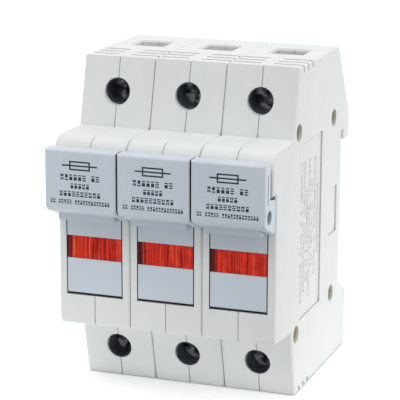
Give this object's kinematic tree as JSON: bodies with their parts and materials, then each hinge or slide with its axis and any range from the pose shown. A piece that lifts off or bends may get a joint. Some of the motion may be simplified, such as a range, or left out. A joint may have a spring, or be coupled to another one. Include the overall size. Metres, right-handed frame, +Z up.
{
  "type": "cartridge fuse holder",
  "caption": "Rail-mounted holder for cylindrical cartridge fuse links, with ganged swing-out carriers, red lamp windows and rising-clamp screw terminals.",
  "frame": {"origin": "centre of the face that rests on the 35 mm rail, at the rail's centre line and on the middle pole's centre plane", "axes": "+X across the poles, +Y to the rear towards the rail and panel, +Z up"},
  "size_m": [0.054, 0.0704, 0.0804],
  "materials": {
    "housing_plastic": "fine moulded texture, light grey-white polyamide",
    "carrier_plastic": "smooth moulded, cool light grey",
    "lens_red": "translucent red, fluted inside",
    "circuit_board": "solder mask",
    "lamp_epoxy": "clear epoxy over a chip",
    "spring_bronze": "bare phosphor bronze",
    "ceramic": "unglazed steatite",
    "nickel_plate": "bright nickel plate over brass",
    "spring_steel": "tempered spring steel",
    "silvered_copper": "silver plated copper strip",
    "zinc_plate": "bright zinc plate",
    "black_steel": "blackened steel",
    "clip_plastic": "moulded glass-filled polyamide",
    "brass": "bare tubular brass rivet"
  },
  "bodies": {
    "housing": {"rivets": "brass", "pole1_left_shell": "housing_plastic", "pole1_right_shell": "housing_plastic", "pole1_upper_jaw": "silvered_copper", "pole1_lower_jaw": "silvered_copper", "pole1_jaw_springs": "spring_steel", "pole1_clip_spring": "spring_steel", "pole1_screw_bushes": "black_steel", "pole2_left_shell": "housing_plastic", "pole2_right_shell": "housing_plastic", "pole2_upper_jaw": "silvered_copper", "pole2_lower_jaw": "silvered_copper", "pole2_jaw_springs": "spring_steel", "pole2_clip_spring": "spring_steel", "pole2_screw_bushes": "black_steel", "pole3_left_shell": "housing_plastic", "pole3_right_shell": "housing_plastic", "pole3_upper_jaw": "silvered_copper", "pole3_lower_jaw": "silvered_copper", "pole3_jaw_springs": "spring_steel", "pole3_clip_spring": "spring_steel", "pole3_screw_bushes": "black_steel"},
    "carrier_1": {"pole1_carrier": "carrier_plastic", "pole1_lens": "lens_red", "pole1_indicator_board": "circuit_board", "pole1_indicator_chips": "lamp_epoxy", "pole1_indicator_leads": "spring_bronze", "pole1_fuse_tube": "ceramic", "pole1_fuse_caps": "nickel_plate"},
    "upper_screw_1": {"pole1_upper_screw": "black_steel"},
    "upper_clamp_1": {"pole1_upper_clamp": "zinc_plate"},
    "lower_screw_1": {"pole1_lower_screw": "black_steel"},
    "lower_clamp_1": {"pole1_lower_clamp": "zinc_plate"},
    "rail_clip_1": {"pole1_rail_clip": "clip_plastic"},
    "carrier_2": {"pole2_carrier": "carrier_plastic", "pole2_lens": "lens_red", "pole2_indicator_board": "circuit_board", "pole2_indicator_chips": "lamp_epoxy", "pole2_indicator_leads": "spring_bronze", "pole2_fuse_tube": "ceramic", "pole2_fuse_caps": "nickel_plate", "tie_pin": "zinc_plate"},
    "upper_screw_2": {"pole2_upper_screw": "black_steel"},
    "upper_clamp_2": {"pole2_upper_clamp": "zinc_plate"},
    "lower_screw_2": {"pole2_lower_screw": "black_steel"},
    "lower_clamp_2": {"pole2_lower_clamp": "zinc_plate"},
    "rail_clip_2": {"pole2_rail_clip": "clip_plastic"},
    "carrier_3": {"pole3_carrier": "carrier_plastic", "pole3_lens": "lens_red", "pole3_indicator_board": "circuit_board", "pole3_indicator_chips": "lamp_epoxy", "pole3_indicator_leads": "spring_bronze", "pole3_fuse_tube": "ceramic", "pole3_fuse_caps": "nickel_plate"},
    "upper_screw_3": {"pole3_upper_screw": "black_steel"},
    "upper_clamp_3": {"pole3_upper_clamp": "zinc_plate"},
    "lower_screw_3": {"pole3_lower_screw": "black_steel"},
    "lower_clamp_3": {"pole3_lower_clamp": "zinc_plate"},
    "rail_clip_3": {"pole3_rail_clip": "clip_plastic"}
  },
  "joints": [
    {"name": "carrier_1_swing", "type": "hinge", "parent": "housing", "child": "carrier_1", "pos_m": [-0.018, -0.0533, -0.0125], "axis": [1, 0, 0], "range_deg": [0, 75]},
    {"name": "upper_screw_1_turn", "type": "hinge", "parent": "housing", "child": "upper_screw_1", "pos_m": [-0.018, -0.028, 0.032], "axis": [0, 1, 0], "range_deg": [0, 2521]},
    {"name": "upper_clamp_1_rise", "type": "slide", "parent": "housing", "child": "upper_clamp_1", "axis": [0, -1, 0], "range_m": [0, 0.0049]},
    {"name": "lower_screw_1_turn", "type": "hinge", "parent": "housing", "child": "lower_screw_1", "pos_m": [-0.018, -0.028, -0.032], "axis": [0, 1, 0], "range_deg": [0, 2521]},
    {"name": "lower_clamp_1_rise", "type": "slide", "parent": "housing", "child": "lower_clamp_1", "axis": [0, -1, 0], "range_m": [0, 0.0049]},
    {"name": "rail_clip_1_slide", "type": "slide", "parent": "housing", "child": "rail_clip_1", "axis": [0, 0, -1], "range_m": [0, 0.003], "stiffness_N_per_m": 1500, "springref_m": -0.001, "deforming": ["pole1_clip_spring"]},
    {"name": "carrier_2_swing", "type": "hinge", "parent": "housing", "child": "carrier_2", "pos_m": [0, -0.0533, -0.0125], "axis": [1, 0, 0], "range_deg": [0, 75]},
    {"name": "upper_screw_2_turn", "type": "hinge", "parent": "housing", "child": "upper_screw_2", "pos_m": [0, -0.028, 0.032], "axis": [0, 1, 0], "range_deg": [0, 2521]},
    {"name": "upper_clamp_2_rise", "type": "slide", "parent": "housing", "child": "upper_clamp_2", "axis": [0, -1, 0], "range_m": [0, 0.0049]},
    {"name": "lower_screw_2_turn", "type": "hinge", "parent": "housing", "child": "lower_screw_2", "pos_m": [0, -0.028, -0.032], "axis": [0, 1, 0], "range_deg": [0, 2521]},
    {"name": "lower_clamp_2_rise", "type": "slide", "parent": "housing", "child": "lower_clamp_2", "axis": [0, -1, 0], "range_m": [0, 0.0049]},
    {"name": "rail_clip_2_slide", "type": "slide", "parent": "housing", "child": "rail_clip_2", "axis": [0, 0, -1], "range_m": [0, 0.003], "stiffness_N_per_m": 1500, "springref_m": -0.001, "deforming": ["pole2_clip_spring"]},
    {"name": "carrier_3_swing", "type": "hinge", "parent": "housing", "child": "carrier_3", "pos_m": [0.018, -0.0533, -0.0125], "axis": [1, 0, 0], "range_deg": [0, 75]},
    {"name": "upper_screw_3_turn", "type": "hinge", "parent": "housing", "child": "upper_screw_3", "pos_m": [0.018, -0.028, 0.032], "axis": [0, 1, 0], "range_deg": [0, 2521]},
    {"name": "upper_clamp_3_rise", "type": "slide", "parent": "housing", "child": "upper_clamp_3", "axis": [0, -1, 0], "range_m": [0, 0.0049]},
    {"name": "lower_screw_3_turn", "type": "hinge", "parent": "housing", "child": "lower_screw_3", "pos_m": [0.018, -0.028, -0.032], "axis": [0, 1, 0], "range_deg": [0, 2521]},
    {"name": "lower_clamp_3_rise", "type": "slide", "parent": "housing", "child": "lower_clamp_3", "axis": [0, -1, 0], "range_m": [0, 0.0049]},
    {"name": "rail_clip_3_slide", "type": "slide", "parent": "housing", "child": "rail_clip_3", "axis": [0, 0, -1], "range_m": [0, 0.003], "stiffness_N_per_m": 1500, "springref_m": -0.001, "deforming": ["pole3_clip_spring"]}
  ],
  "couplings": [
    {"joint": "carrier_1_swing", "follows": "carrier_2_swing", "ratio": 1},
    {"joint": "upper_screw_1_turn", "follows": "upper_clamp_1_rise", "rad_per_m": 8976},
    {"joint": "lower_screw_1_turn", "follows": "lower_clamp_1_rise", "rad_per_m": 8976},
    {"joint": "upper_screw_2_turn", "follows": "upper_clamp_2_rise", "rad_per_m": 8976},
    {"joint": "lower_screw_2_turn", "follows": "lower_clamp_2_rise", "rad_per_m": 8976},
    {"joint": "carrier_3_swing", "follows": "carrier_2_swing", "ratio": 1},
    {"joint": "upper_screw_3_turn", "follows": "upper_clamp_3_rise", "rad_per_m": 8976},
    {"joint": "lower_screw_3_turn", "follows": "lower_clamp_3_rise", "rad_per_m": 8976}
  ]
}
